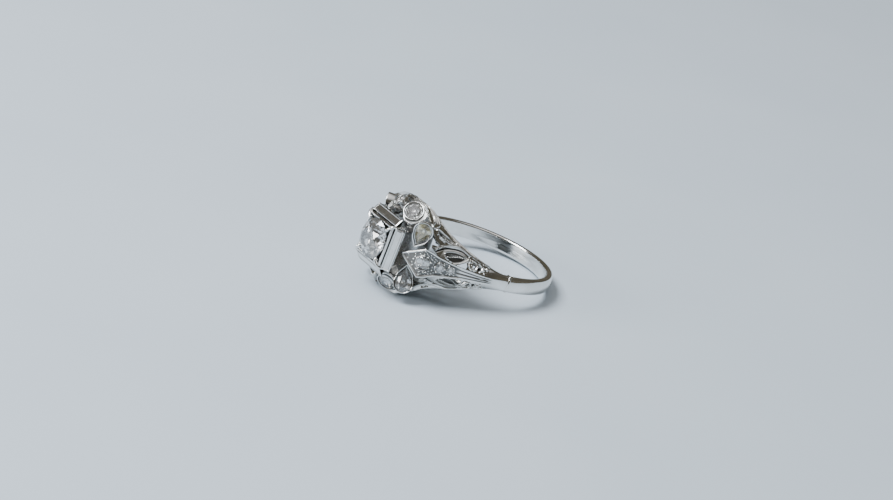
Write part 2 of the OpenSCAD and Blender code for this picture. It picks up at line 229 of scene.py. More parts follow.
def sweep(piece, path, normals, profile, closed=False, scale=None, painted_shade=0.0):
    """A closed profile of (side, out) swept along a path with a surface normal at each point."""
    path = np.asarray(path, float)
    n = len(path)
    if closed:
        t = unit(np.roll(path, -1, 0) - np.roll(path, 1, 0))
    else:
        t = unit(np.gradient(path, axis=0))
    normals = unit(normals - (normals * t).sum(1, keepdims=True) * t)
    side = np.cross(t, normals)
    profile = np.asarray(profile, float)
    k = np.ones(n) if scale is None else np.asarray(scale, float)
    v = (path[:, None] + side[:, None] * profile[None, :, :1] * k[:, None, None]
         + normals[:, None] * profile[None, :, 1:] * k[:, None, None])
    m = len(profile)
    f = strip(n, m, wrap_u=closed, wrap_v=True)
    if not closed:
        f += caps(n, m)
    piece.add(v, f, painted_shade)


def half_round(w, h, base=-0.08, n=7):
    a = np.linspace(0, math.pi, n)
    return [(w, base)] + [(w * math.cos(x), h * math.sin(x)) for x in a] + [(-w, base)]


def bead(piece, at, out, r, rise=0.55, rings=4, seg=10, painted_shade=0.0):
    """A grain of metal standing out of a surface."""
    z = unit(out)
    x = unit(np.cross(z, [0.31, 0.87, 0.4]))
    y = np.cross(z, x)
    v = [np.asarray(at) + z * r * rise]
    f = []
    for i in range(1, rings + 1):
        p = math.pi * 0.62 * i / rings
        for j in range(seg):
            q = 2 * math.pi * j / seg
            v.append(np.asarray(at) + z * r * (math.cos(p) - 1 + rise)
                     + (x * math.cos(q) + y * math.sin(q)) * r * math.sin(p))
    for j in range(seg):
        f.append((0, 1 + j, 1 + (j + 1) % seg))
    for i in range(rings - 1):
        for j in range(seg):
            a, b = 1 + i * seg + j, 1 + i * seg + (j + 1) % seg
            f.append((a, a + seg, b + seg, b))
    f.append(tuple(1 + (rings - 1) * seg + j for j in range(seg))[::-1])
    piece.add(v, f, painted_shade)


def basis(at, out, toward):
    z = unit(out)
    y = unit(np.cross(z, toward))
    x = np.cross(y, z)
    m = np.eye(4)
    m[:3, 0], m[:3, 1], m[:3, 2], m[:3, 3] = x, y, z, at
    return m


def place(m, v):
    v = np.asarray(v, float).reshape(-1, 3)
    return v @ m[:3, :3].T + m[:3, 3]


# ---------------------------------------------------------------- materials

def nodes_of(name):
    mat = bpy.data.materials.new(name)
    mat.use_nodes = True
    nt = mat.node_tree
    return mat, nt, nt.nodes["Principled BSDF"]


def ramp(nt, source, stops):
    r = nt.nodes.new("ShaderNodeValToRGB")
    while len(r.color_ramp.elements) < len(stops):
        r.color_ramp.elements.new(0.5)
    for e, (p, c) in zip(r.color_ramp.elements, stops):
        e.position = p
        e.color = (c[0], c[1], c[2], 1)
    nt.links.new(source, r.inputs[0])
    return r.outputs[0]


def noise(nt, scale, detail=3, stretch=None):
    tc = nt.nodes.new("ShaderNodeTexCoord")
    src = tc.outputs["Object"]
    if stretch:
        m = nt.nodes.new("ShaderNodeMapping")
        m.inputs["Scale"].default_value = stretch
        nt.links.new(src, m.inputs[0])
        src = m.outputs[0]
    n = nt.nodes.new("ShaderNodeTexNoise")
    n.inputs["Scale"].default_value = scale
    n.inputs["Detail"].default_value = detail
    nt.links.new(src, n.inputs["Vector"])
    return n.outputs["Fac"]


def times_plus(nt, source, gain, extra):
    """source * gain + extra, where extra is a number or another node's output."""
    m = nt.nodes.new("ShaderNodeMath")
    m.operation = "MULTIPLY_ADD"
    m.inputs[1].default_value = gain
    nt.links.new(source, m.inputs[0])
    if isinstance(extra, (int, float)):
        m.inputs[2].default_value = extra
    else:
        nt.links.new(extra, m.inputs[2])
    return m.outputs[0]


def bump(nt, height, strength, distance, under=None):
    b = nt.nodes.new("ShaderNodeBump")
    b.inputs["Strength"].default_value = strength
    b.inputs["Distance"].default_value = distance
    nt.links.new(height, b.inputs["Height"])
    if under:
        nt.links.new(under, b.inputs["Normal"])
    return b.outputs[0]


# near-black colour for painted shade in hollows, under parts and on back faces, with a little random grime
# mixed in
SHADE_AND_GRIME = (0.02, 0.019, 0.016, 1)


def metal(name, light, shade, rough, dents, streaks):
    """Worn platinum: fine hairlines, soft dents, and painted shade (near black, with a fine random grime
    speckle) where the piece's per-vertex shade value is high.
    """
    mat, nt, p = nodes_of(name)
    p.inputs["Metallic"].default_value = 1
    blotch = noise(nt, 700, 4)
    body = ramp(nt, blotch, [(0.35, shade), (0.65, light)])
    # per-vertex painted shade from the mesh, plus a fine random grime speckle, sets how far the colour goes
    # to near black
    attr = nt.nodes.new("ShaderNodeAttribute")
    attr.attribute_name = "painted_shade"
    dirt = times_plus(nt, noise(nt, 2600, 5), 0.16, -0.08)
    mix = nt.nodes.new("ShaderNodeMix")
    mix.data_type = "RGBA"
    mix.clamp_factor = True
    nt.links.new(times_plus(nt, attr.outputs["Fac"], 1, dirt), mix.inputs[0])
    nt.links.new(body, mix.inputs[6])
    mix.inputs[7].default_value = SHADE_AND_GRIME
    nt.links.new(mix.outputs[2], p.inputs["Base Color"])
    r = nt.nodes.new("ShaderNodeMapRange")
    r.inputs["To Min"].default_value = max(0.02, rough - 0.05)
    r.inputs["To Max"].default_value = rough + 0.07
    nt.links.new(noise(nt, 1500, 5), r.inputs["Value"])
    nt.links.new(times_plus(nt, attr.outputs["Fac"], 0.3, r.outputs[0]), p.inputs["Roughness"])
    dented = bump(nt, noise(nt, 900, 3), dents, 0.00006)
    lined = bump(nt, noise(nt, 2400, 3, (1, 9, 1)), streaks, 0.00002, dented)
    nt.links.new(lined, p.inputs["Normal"])
    return mat


def gem(name, tint, ior, clear, deep=None):
    """A stone that varies softly from its tint to a deeper one."""
    mat, nt, p = nodes_of(name)
    p.inputs["Transmission Weight"].default_value = clear
    p.inputs["IOR"].default_value = ior
    p.inputs["Roughness"].default_value = 0
    c = ramp(nt, noise(nt, 1100, 2), [(0.38, deep or tint), (0.62, tint)])
    nt.links.new(c, p.inputs["Base Color"])
    return mat


POLISHED = metal("polished_platinum", (0.86, 0.855, 0.84), (0.78, 0.775, 0.75), 0.09, 0.12, 0.1)
BOX = metal("box_platinum", (0.9, 0.895, 0.88), (0.82, 0.81, 0.79), 0.12, 0.1, 0.08)
PLATE = metal("plate_platinum", (0.88, 0.88, 0.87), (0.74, 0.735, 0.71), 0.14, 0.35, 0.08)
BEZEL = metal("bezel_platinum", (0.9, 0.9, 0.885), (0.8, 0.795, 0.775), 0.11, 0.15, 0.06)
FILIGREE = metal("filigree_platinum", (0.86, 0.86, 0.84), (0.7, 0.69, 0.66), 0.15, 0.25, 0.08)
CLEAR = gem("clear_diamond", (1, 1, 1), 2.4, 0.96)
SMALL = gem("small_diamond", (1, 1, 1), 2.3, 0.93, (0.9, 0.92, 0.94))
CHAMPAGNE = gem("champagne_diamond", (1, 0.97, 0.86), 2.2, 0.9, (0.97, 0.87, 0.5))

# ---------------------------------------------------------------- shank, collars, shoulders, rims


def dome_section():
    """Half of the shank's section from the inner corner to the crown, as (radius, y)."""
    half = SHANK_W / 2
    out = FINGER_R + SHANK_T
    dome = 2.2
    edge_r = out - dome + math.sqrt(dome ** 2 - half ** 2)
    pts = [(FINGER_R + 0.02, 0), (FINGER_R, half - 0.22), (FINGER_R + 0.03, half - 0.09),
           (FINGER_R + 0.12, half - 0.01)]
    pts += [(FINGER_R + 0.3, half), (edge_r - 0.08, half - 0.01), (edge_r + 0.03, half - 0.06)]
    for k in range(1, 9):
        y = (half - 0.06) * (1 - k / 8)
        pts.append((out - dome + math.sqrt(dome ** 2 - y ** 2), y))
    return np.array(pts)


def full(half):
    """Mirrors a half section into a closed one."""
    other = half[::-1][1:-1] * [1, -1]
    return np.vstack([half, other])


def around(sections, angles):
    """Vertices of (radius, y) sections standing at angles from the head."""
    a = np.radians(angles)[:, None]
    r, y = sections[..., 0], sections[..., 1]
    return np.stack([r * np.sin(a), y, r * np.cos(a)], -1)


def wall_value(a, k):
    return np.interp(np.abs(a), ROWS[:, 0], ROWS[:, k])


def wall_point(a, v, d=0.0):
    """Point of the north side wall at an angle from the head, v from 0 at its foot to 1."""
    a, v = np.broadcast_arrays(np.asarray(a, float), np.asarray(v, float))
    foot = np.stack([np.full(a.shape, 9.05), wall_value(a, 1)], -1)
    top = np.stack([wall_value(a, 4), wall_value(a, 5)], -1)
    pull = 2 * np.stack([wall_value(a, 2), wall_value(a, 3)], -1) - (foot + top) / 2
    w = v[..., None]
    at = (1 - w) ** 2 * foot + 2 * w * (1 - w) * pull + w * w * top
    run = (1 - w) * (pull - foot) + w * (top - pull)
    at = at - np.asarray(d)[..., None] * unit(np.stack([-run[..., 1], run[..., 0]], -1))
    r = np.radians(a)
    return np.stack([at[..., 0] * np.sin(r), at[..., 1], at[..., 0] * np.cos(r)], -1)


def wall_normal(a, v):
    e = 0.01
    n = np.cross(wall_point(a, v + e) - wall_point(a, v - e), wall_point(a + 0.5, v) - wall_point(a - 0.5, v))
    return unit(n)


def shoulder_section(a):
    """Half section of the solid shoulder, easing from the side wall's shape to the shank's."""
    shank = resample(dome_section(), HALF_POINTS)
    foot = float(np.interp(FINGER_R * math.sin(math.radians(min(a, 77))), MOUTH[:, 0], MOUTH[:, 1]))
    t = np.linspace(0, 1, 8)
    aa = min(a, 60.0)
    w = wall_point(np.full(8, aa), t)
    wr, wy = np.hypot(w[:, 0], w[:, 2]), w[:, 1]
    pts = [(FINGER_R, 0), (FINGER_R, foot - 0.12), (FINGER_R + 0.1, foot)]
    pts += list(zip(wr, wy))
    pts.append((wr[-1] + 0.01, 0))
    wall = resample(np.array(pts), HALF_POINTS)
    k = float(smooth(np.array(a), 57.0, 76.0))
    return (1 - k) * wall + k * shank


def build_shank():
    p = Piece()
    angles = np.linspace(71, 289, 190)
    sec = np.array([full(resample(dome_section(), HALF_POINTS))] * len(angles))
    m = sec.shape[1]
    p.add(around(sec, angles), strip(len(angles), m, wrap_v=True) + caps(len(angles), m))
    p.emit("shank_band", POLISHED, "polished_metal", "shank", sharp=50)


def build_shoulder():
    base = Piece()
    angles = np.linspace(55.5, COLLAR_AT, 60)
    sec = np.array([full(shoulder_section(a)) for a in angles])
    m = sec.shape[1]
    # painted shade, strongest at the head end and fading out along the shoulder
    painted_shade = np.repeat(0.25 * (1 - smooth(angles, 60, 70)), m)
    base.add(around(sec, angles), strip(len(angles), m, wrap_v=True) + caps(len(angles), m), painted_shade)
    for side, name in ENDS:
        base.quarter(side, 1).emit("shoulder_block_" + name, POLISHED, "polished_metal", "shoulder_" + name,
                                   sharp=50)


def build_collar():
    base = Piece()
    sec = full(resample(dome_section(), HALF_POINTS))
    centre = np.array([FINGER_R + 0.5, 0])
    grow = unit(sec - centre)
    keep = sec[:, 0] > FINGER_R + 0.04
    angles, lifts = [], []
    for k in range(9):
        u = math.pi * k / 8
        angles.append(COLLAR_AT - 0.8 * math.cos(u))
        lifts.append(0.1 * math.sin(u))
    s = np.array([sec + grow * (np.where(keep, g, 0.0)[:, None]) for g in lifts])
    base.add(around(s, np.array(angles)), strip(9, len(sec), wrap_v=True))
    for side, name in ENDS:
        base.quarter(side, 1).emit("collar_bead_" + name, POLISHED, "polished_metal", "collar_" + name)


def build_rims():
    base = Piece()
    angles = np.linspace(-58, 58, 120)
    rows = []
    for a in angles:
        out = float(np.interp(abs(8.8 * math.sin(math.radians(a))), MOUTH[:, 0], MOUTH[:, 1]))
        inn = out - 0.6
        b = 0.07
        rows.append([
            (8.5, inn + b), (8.5, out - b), (8.52, out - 0.3 * b), (8.57, out), (9.05, out),
            (9.1, out - 0.3 * b), (9.12, out - b), (9.12, inn + b), (9.08, inn), (8.56, inn),
        ])
    f = strip(len(angles), 10, wrap_v=True) + caps(len(angles), 10)
    base.add(around(np.array(rows), angles), [x[::-1] for x in f])
    for side, name in SIDES:
        base.quarter(1, side).emit("finger_rim_" + name, POLISHED, "polished_metal", "rim_" + name)


# ---------------------------------------------------------------- side walls


class Wall:
    """A fine net over part of the side wall, with its ornament worked as height.

    Places on it are (angle from the head in degrees, 0 at the wall's foot to 1 at its top).
    """

    def __init__(self, a0, a1, na, nv):
        self.A, self.V = np.meshgrid(np.linspace(a0, a1, na), np.linspace(0, 1, nv), indexing="ij")
        self.P = wall_point(self.A, self.V)
        self.N = wall_normal(self.A, self.V)
        self.h = np.zeros(self.A.shape)
        # painted shade: a thin veil of it over the whole wall, lifted off raised wires and deepened in
        # hollows and grooves
        self.painted_shade = np.full(self.A.shape, 0.12)
        self.open = np.zeros(self.A.shape, bool)

    def near(self, line):
        """Distance of every net point from a line given on the wall."""
        return away_from(self.P.reshape(-1, 3), wall_point(line[:, 0], line[:, 1])).reshape(self.A.shape)

    def inside(self, loop):
        """Which net points lie inside a loop."""
        x, y = loop[:, 0], loop[:, 1]
        x2, y2 = np.roll(x, -1), np.roll(y, -1)
        hit = np.zeros(self.A.shape, bool)
        for i in range(len(x)):
            c = (y[i] > self.V) != (y2[i] > self.V)
            with np.errstate(divide="ignore", invalid="ignore"):
                xi = (x2[i] - x[i]) * (self.V - y[i]) / (y2[i] - y[i]) + x[i]
            hit ^= c & (self.A < xi)
        return hit

    def ridge(self, points, width, height):
        """A raised wire, with the painted shade lifted off it so that it reads bright."""
        d = self.near(curve(points, 10))
        rise = height * np.sqrt(np.clip(1 - (d / width) ** 2, 0, 1))
        on = d < width
        self.h = np.where(on, np.maximum(self.h, self.h * 0.3 + rise), self.h)
        self.painted_shade = np.where(on, self.painted_shade * (d / width) ** 2 * 0.6, self.painted_shade)

    def sunk(self, points, depth, painted_shade=1.0, soft=0.1):
        """A hollow inside a loop, with walls as wide as soft, filled with painted shade."""
        loop = curve(points, 10, True)
        ins = self.inside(loop)
        d = self.near(np.vstack([loop, loop[:1]]))
        k = np.where(ins, np.clip(d / soft, 0, 1), 0)
        self.h = self.h - depth * k
        self.painted_shade = np.maximum(self.painted_shade, painted_shade * k)

    def groove(self, points, width, depth):
        """A cut line filled with painted shade."""
        d = self.near(curve(points, 10))
        k = 1 - smooth(d, width * 0.4, width)
        self.h = self.h - depth * k
        self.painted_shade = np.maximum(self.painted_shade, k)

    def hole(self, points, smooth_loop=True):
        """An opening through the wall."""
        loop = curve(points, 10, True) if smooth_loop else np.asarray(points, float)
        self.open |= self.inside(loop)

    def build(self, piece):
        """Front and back sheets, joined round the edge and round every opening."""
        na, nv = self.A.shape
        front = self.P + self.N * self.h[..., None]
        back = wall_point(self.A, self.V, WALL_T)
        keep = ~(self.open[:-1, :-1] | self.open[1:, :-1] | self.open[:-1, 1:] | self.open[1:, 1:])
        index = np.arange(na * nv).reshape(na, nv)
        f = []
        off = na * nv
        ii, jj = np.nonzero(keep)
        for i, j in zip(ii, jj):
            a, b, c, d = index[i, j], index[i + 1, j], index[i + 1, j + 1], index[i, j + 1]
            f.append((a, d, c, b))
            f.append((off + a, off + b, off + c, off + d))
            if i == 0 or not keep[i - 1, j]:
                f.append((a, off + a, off + d, d))
            if i == na - 2 or not keep[i + 1, j]:
                f.append((b, c, off + c, off + b))
            if j == 0 or not keep[i, j - 1]:
                f.append((a, b, off + b, off + a))
            if j == nv - 2 or not keep[i, j + 1]:
                f.append((d, off + d, off + c, c))
        used = np.zeros(2 * off, bool)
        for face in f:
            used[list(face)] = True
        new = np.cumsum(used) - 1
        v = np.vstack([front.reshape(-1, 3), back.reshape(-1, 3)])[used]
        # the back sheet gets a little painted shade
        painted_shade = np.concatenate([self.painted_shade.ravel(), np.full(off, 0.1)])[used]
        piece.add(v, [tuple(new[k] for k in face) for face in f], painted_shade)


def wall_wire(piece, points, width, height):
    """A wire on the wall that thins toward both ends."""
    line = curve(points, 10)
    t = np.clip(np.linspace(0, 1, len(line)), 0.02, 0.98)
    sweep(piece, wall_point(line[:, 0], line[:, 1]), wall_normal(line[:, 0], line[:, 1]),
          half_round(width, height), scale=0.35 + 0.65 * np.sin(math.pi * t) ** 0.6)


def wall_beads(piece, points, r, step, lift=0.0, rise=0.8):
    line = curve(points, 14)
    p = wall_point(line[:, 0], line[:, 1])
    q = along(np.hstack([p, wall_normal(line[:, 0], line[:, 1])]), step)
    for row in q:
        bead(piece, row[:3] + unit(row[3:]) * lift, row[3:], r, rise, 3, 8)


def build_webs():
    w = Wall(13, 60, 236, 92)
    # leaf beside the plate: channel of painted shade over it, sunk oval with painted shade and a row of
    # grains in it
    w.sunk([(31.2, 0.92), (32.2, 0.83), (34.8, 0.75), (38.2, 0.69), (41, 0.67), (43, 0.66), (42, 0.78),
            (40.5, 0.89), (37.8, 0.96), (35.2, 0.98), (33, 0.96)], 0.22, 0.85, soft=0.06)
    w.groove([(28, 1.0), (28.8, 0.91), (30.2, 0.8), (33, 0.71), (36.5, 0.61), (39.8, 0.54), (43.4, 0.55)],
             0.13, 0.2)
    w.ridge([(27.4, 0.96), (28, 0.88), (29.4, 0.77), (32.4, 0.65), (35.8, 0.55), (39.4, 0.47), (43.6, 0.45)],
            0.12, 0.13)
    w.ridge([(31.2, 0.9), (32.2, 0.945), (33.8, 0.965), (36, 0.975)], 0.06, 0.12)
    w.ridge([(33, 0.88), (35.6, 0.82), (38.4, 0.76), (41.6, 0.71), (43.8, 0.66)], 0.05, 0.06)
    w.ridge([(37.8, 1.0), (40.2, 0.95), (42.5, 0.84), (44.2, 0.64)], 0.08, 0.1)
    # triangle of plain metal under its tip, then the scroll
    w.ridge([(44, 0.75), (45.8, 0.69), (47.2, 0.74), (47.6, 0.84), (48.9, 0.92)], 0.12, 0.14)
    w.sunk([(47.8, 0.7), (49.4, 0.66), (50.4, 0.74), (49.9, 0.86), (48.6, 0.86)], 0.26, 1.0)
    w.sunk([(51.6, 0.62), (53.2, 0.6), (54, 0.74), (53, 0.88), (51.4, 0.82)], 0.24, 1.0)
    w.ridge([(46.6, 0.6), (48.4, 0.54), (50.4, 0.58), (51.2, 0.72), (50.8, 0.86), (49.8, 0.93)], 0.1, 0.16)
    w.ridge([(50.6, 0.52), (52.6, 0.5), (54.3, 0.58), (54.6, 0.74), (53.8, 0.88)], 0.09, 0.14)
    w.sunk([(55.6, 0.55), (57.6, 0.5), (58.8, 0.64), (57.8, 0.8), (56, 0.78)], 0.2, 0.9)
    # second leaf over the finger rim
    w.sunk([(21.5, 0.94), (23.5, 0.82), (27, 0.7), (31, 0.6), (34.6, 0.52), (32, 0.5), (27.5, 0.55),
            (23.6, 0.68)], 0.3, 1.0)
    w.ridge([(20.6, 0.98), (22.4, 0.84), (25.4, 0.74), (29.4, 0.66), (33.6, 0.56), (37, 0.46)], 0.12, 0.16)
    w.ridge([(21.4, 0.9), (23.4, 0.66), (27.4, 0.52), (31.6, 0.47), (36.4, 0.45)], 0.09, 0.12)
    w.ridge([(22.2, 0.88), (23.8, 0.825), (25.8, 0.77), (27.8, 0.745)], 0.06, 0.26)
    w.ridge([(25, 0.67), (28, 0.61), (31.6, 0.555)], 0.05, 0.14)
    # ribbon between the two leaves
    w.groove([(25.6, 0.97), (26.6, 0.91), (28.2, 0.86)], 0.07, 0.14)
    w.groove([(26.8, 0.99), (27.4, 0.945), (28.2, 0.92)], 0.05, 0.12)
    # band of painted shade and fine line beside the rim
    w.sunk([(13, 0.34), (18, 0.34), (24, 0.32), (30, 0.3), (38, 0.3), (46, 0.3), (54, 0.3), (54, 0.16),
            (44, 0.16), (34, 0.14), (24, 0.14), (13, 0.16)], 0.16, 0.85)
    w.ridge([(13, 0.42), (20, 0.4), (28, 0.37), (36, 0.36), (44, 0.38), (52, 0.4)], 0.08, 0.12)
    w.ridge([(13, 0.07), (24, 0.07), (36, 0.07), (48, 0.08), (60, 0.1)], 0.13, 0.17)
    # frame arcs that go round the round bezel
    w.ridge([(13, 0.8), (16, 0.78), (18.6, 0.84), (20, 0.98)], 0.12, 0.16)
    w.ridge([(13, 0.6), (17, 0.58), (20, 0.66), (21.4, 0.82)], 0.09, 0.12)
    w.sunk([(13, 0.74), (16.4, 0.7), (18.8, 0.76), (19.6, 0.72), (17, 0.64), (13, 0.66)], 0.16, 0.8)
    # pierced slots
    w.hole([(30.4, 0.805), (33, 0.72), (36.5, 0.62), (38, 0.585), (36.5, 0.6), (33, 0.7)])
    w.hole([(38.4, 1.0), (40.8, 0.93), (43.7, 0.79), (44.9, 0.9), (44.6, 0.985), (42, 0.99)],
           smooth_loop=False)
    w.hole([(22.8, 0.99), (24.2, 0.905), (26.6, 0.87), (27.4, 0.9), (26, 0.955), (25.1, 1.0)],
           smooth_loop=False)
    w.hole([(48.3, 0.72), (49.4, 0.69), (49.9, 0.76), (49.3, 0.83), (48.6, 0.82)])
    w.hole([(15, 0.3), (20, 0.3), (24, 0.27), (20, 0.2), (15, 0.2)])
    w.hole([(27, 0.27), (33, 0.26), (38, 0.25), (33, 0.19), (27, 0.19)])
    w.hole([(41, 0.26), (46, 0.26), (50, 0.25), (46, 0.2), (41, 0.2)])
    base = Piece()
    w.build(base)
    for name, (sx, sy) in QUARTERS.items():
        base.quarter(sx, sy).emit("web_" + name + "_relief", FILIGREE, "filigree_metal", "web_" + name,
                                  sharp=60)


def build_sprays():
    base = Piece()
    # grains in the leaf and along its edge
    wall_beads(base, [(33.2, 0.925), (34.5, 0.9), (35.6, 0.87), (37.2, 0.83), (38.6, 0.79), (40.4, 0.765)],
               0.09, 0.21,
               -0.05, 1.3)
    wall_beads(base, [(25.4, 0.71), (27.8, 0.64), (31.2, 0.57)], 0.08, 0.26, -0.06, 1.0)
    for a, v, r in [(33.2, 0.47, 0.17), (51.6, 0.66, 0.15), (55.4, 0.72, 0.24), (58.2, 0.52, 0.22),
                    (56.9, 0.86, 0.15), (30.2, 0.84, 0.1), (45.6, 0.62, 0.1), (28, 0.745, 0.11)]:
        bead(base, wall_point(a, v), wall_normal(a, v), r, 0.9, 5, 14)
    wall_wire(base, [(47.4, 0.63), (49, 0.58), (50.4, 0.64), (50.9, 0.76), (50.2, 0.88)], 0.08, 0.2)
    wall_wire(base, [(27.5, 0.95), (28.2, 0.87), (29.6, 0.76), (32.6, 0.645), (36, 0.545), (39.6, 0.465)],
              0.06, 0.2)
    wall_wire(base, [(44.8, 0.76), (45.4, 0.86), (46.8, 0.93), (48.8, 0.975)], 0.06, 0.24)
    wall_wire(base, [(53.6, 0.5), (55.2, 0.52), (56.2, 0.62), (55.4, 0.6)], 0.07, 0.16)
    for name, (sx, sy) in QUARTERS.items():
        base.quarter(sx, sy).emit("spray_" + name + "_leaves", FILIGREE, "filigree_metal", "spray_" + name)


def build_skirts():
    w = Wall(-13, 13, 130, 92)
    for s in (1, -1):
        def m(points, s=s):
            return [(s * a, v) for a, v in points]

        w.ridge(m([(0, 0.93), (4, 0.86), (8.6, 0.8), (13, 0.8)]), 0.11, 0.08)
        w.ridge(m([(0, 0.5), (3, 0.62), (7, 0.66), (13, 0.6)]), 0.1, 0.14)
        w.ridge(m([(0, 0.44), (5, 0.41), (13, 0.42)]), 0.08, 0.1)
        # hollows filled with painted shade
        w.sunk(m([(1.4, 0.8), (5, 0.74), (9, 0.72), (12.8, 0.72), (9, 0.67), (5, 0.66)]), 0.22, 1.0)
        w.sunk(m([(1.6, 0.54), (5, 0.6), (9, 0.58), (12.8, 0.53), (9, 0.47), (4, 0.46)]), 0.22, 1.0)
        w.hole(m([(3.4, 0.74), (6.6, 0.72), (9.6, 0.7), (6.6, 0.69), (4.4, 0.7)]))
        w.hole(m([(3, 0.53), (6, 0.56), (9.4, 0.54), (6.4, 0.5), (4, 0.49)]))
    # band of painted shade beside the rim
    w.sunk([(-13, 0.34), (-5, 0.33), (5, 0.33), (13, 0.34), (13, 0.16), (5, 0.17), (-5, 0.17), (-13, 0.16)],
           0.16, 0.85)
    w.ridge([(-13, 0.06), (0, 0.06), (13, 0.06)], 0.12, 0.1)
    base = Piece()
    w.build(base)
    wall_beads(base, [(-1.6, 0.52), (0, 0.5), (1.6, 0.52)], 0.14, 0.34, 0.04, 1.0)
    bead(base, wall_point(0, 0.72), wall_normal(0.0, 0.72), 0.15, 0.9, 6, 16)
    for side, name in SIDES:
        base.quarter(1, side).emit("skirt_" + name + "_relief", FILIGREE, "filigree_metal", "skirt_" + name,
                                   sharp=60)


# ---------------------------------------------------------------- stones


def brilliant(warp=None, table=0.54, crown=0.34, star=0.78, low=0.45, depth=0.86, culet=0.07):
    """An old brilliant cut of radius 1 with its girdle at z = 0, warped to another outline if given."""
    g = 0.02

    def ring(r, z, shift, n=8):
        return [(r, (k + shift) * 2 * math.pi / n, z) for k in range(n)]

    c22 = math.cos(math.pi / 8)
    star_z = g + (crown - g) * (1 - star * c22) / (1 - table)
    low_z = -g - (depth - g) * (1 - low * c22) / (1 - culet)
    pts = ring(table, crown, 0) + ring(star, star_z, 0.5) + ring(1, g, 0, 16)
    pts += ring(1, -g, 0, 16) + ring(low, low_z, 0.5) + ring(culet, -depth, 0)
    # first vertex of each ring: table, star, girdle top and foot, lower facets, culet
    T, S, G, H, L, C = 0, 8, 16, 32, 48, 56
    f = [tuple(T + k for k in range(8))]
    for k in range(8):
        n = (k + 1) % 8
        p = (k - 1) % 8
        f.append((T + k, S + k, T + n)[::-1])
        f.append((T + k, S + p, G + 2 * k, S + k))
        f.append((S + k, G + 2 * k, G + 2 * k + 1))
        f.append((S + k, G + 2 * k + 1, G + (2 * k + 2) % 16))
        f.append((C + k, L + k, H + 2 * k, L + p))
        f.append((L + k, H + 2 * k + 1, H + 2 * k))
        f.append((L + k, H + (2 * k + 2) % 16, H + 2 * k + 1))
        f.append((C + n, L + k, C + k))
    for k in range(16):
        n = (k + 1) % 16
        f.append((G + k, H + k, H + n, G + n))
    f.append(tuple(C + k for k in range(8))[::-1])
    v = []
    for r, q, z in pts:
        s = 1.0 if warp is None else warp(q)
        v.append((r * s * math.cos(q), r * s * math.sin(q), z))
    return np.array(v), f


def set_stone(name, m, r, material, slot, node, warp=None, turn=0.0, **cut):
    """A cut stone with flat facets, standing in the axes m."""
    v, f = brilliant(warp, **cut)
    c, s = math.cos(turn), math.sin(turn)
    if warp is None:
        v = v @ np.array([[c, s, 0], [-s, c, 0], [0, 0, 1]])
    p = Piece()
    tri = []
    for face in f:
        if len(face) == 4 and warp is not None:
            tri += [(face[0], face[1], face[2]), (face[0], face[2], face[3])]
        else:
            tri.append(face)
    p.add(place(m, v * r), tri)
    obj = p.emit(name, material, slot, node, flat=True)
    bm = bmesh.new()
    bm.from_mesh(obj.data)
    bmesh.ops.recalc_face_normals(bm, faces=bm.faces)
    bm.to_mesh(obj.data)
    bm.free()


# ---------------------------------------------------------------- bezels


def pear_radius(q, r, reach, bulge=0.19):
    """Distance from the round end's centre to the pear's edge at an angle from its point."""
    q = (q + math.pi) % (2 * math.pi) - math.pi
    a = math.acos(r / reach)
    if abs(q) >= a:
        return r
    base = r / math.cos(a - abs(q))
    return base + bulge * math.sin(math.pi * min(1, abs(q) / a))


def outline(kind, n=72):
    """Edge points of a setting of radius 1: kind is "round", or how far a pear's point reaches."""
    q = np.linspace(0, 2 * math.pi, n, endpoint=False)
    if kind == "round":
        return np.stack([np.cos(q), np.sin(q)], 1)
    q = np.sign(np.sin(q)) * math.pi * (np.abs((q + math.pi) % (2 * math.pi) - math.pi) / math.pi) ** 1.5
    rad = np.array([pear_radius(x, 1, kind) for x in q])
    return np.stack([rad * np.cos(q), rad * np.sin(q)], 1)


def cup(piece, m, kind, profile, painted_shades, n=72):
    """Rings of the outline at (radius, z) steps, joined from outside to inside."""
    o = outline(kind, n)
    v = []
    d = []
    # each ring of the cup carries its own painted shade
    for (rad, z), k in zip(profile, painted_shades):
        v.append(np.hstack([o * rad, np.full((n, 1), z)]))
        d.append(np.full(n, k))
    v = place(m, np.vstack(v))
    f = []
    for i in range(len(profile) - 1):
        for j in range(n):
            a, b = i * n + j, i * n + (j + 1) % n
            f.append((a, b, b + n, a + n))
    piece.add(v, f + caps(len(profile), n), np.concatenate(d))


ROUND_AT, ROUND_DIR = np.array([1.62, 4.74, 13.4]), np.array([0.42, 0.63, 0.66])
PEAR_TIP, PEAR_END = np.array([4.05, 1.05, 13.38]), np.array([4.97, 4.52, 13.38])
PEAR_DIR = np.array([0.72, -0.19, 0.67])
PEAR_FAR_SHIFT = np.array([0.45, 0, -0.45])
ROUND_R, PEAR_R = 1.25, 1.2
STONE_DROP = 0.2


def bezel_profile(ro, rs):
    """From the foot of the cup up its wall, over a thin lip left bright without painted shade, and down to
    the stone; the third number of each step is painted shade, deepest just under the lip.
    """
    steps = [
        (ro - 0.2, -0.95, 0.4), (ro - 0.07, -0.5, 0.3), (ro - 0.02, -0.2, 0.2), (ro - 0.02, -0.12, 0.2),
        (ro, -0.08, 0), (ro - 0.01, -0.02, 0), (ro - 0.04, 0, 0), (ro - 0.08, 0, 0),
        (ro - 0.12, -0.03, 0.3), (ro - 0.14, -0.12, 0.9), (rs + 0.045, -0.19, 0.9), (rs + 0.01, -0.12, 0.2),
        (rs - 0.02, -0.11, 0), (rs - 0.04, -0.17, 0.2), (rs - 0.12, -0.32, 0), (rs * 0.5, -0.66, 0),
        (rs * 0.2, -0.75, 0),
    ]
    return [(r, z) for r, z, _ in steps], [painted_shade for *_, painted_shade in steps]


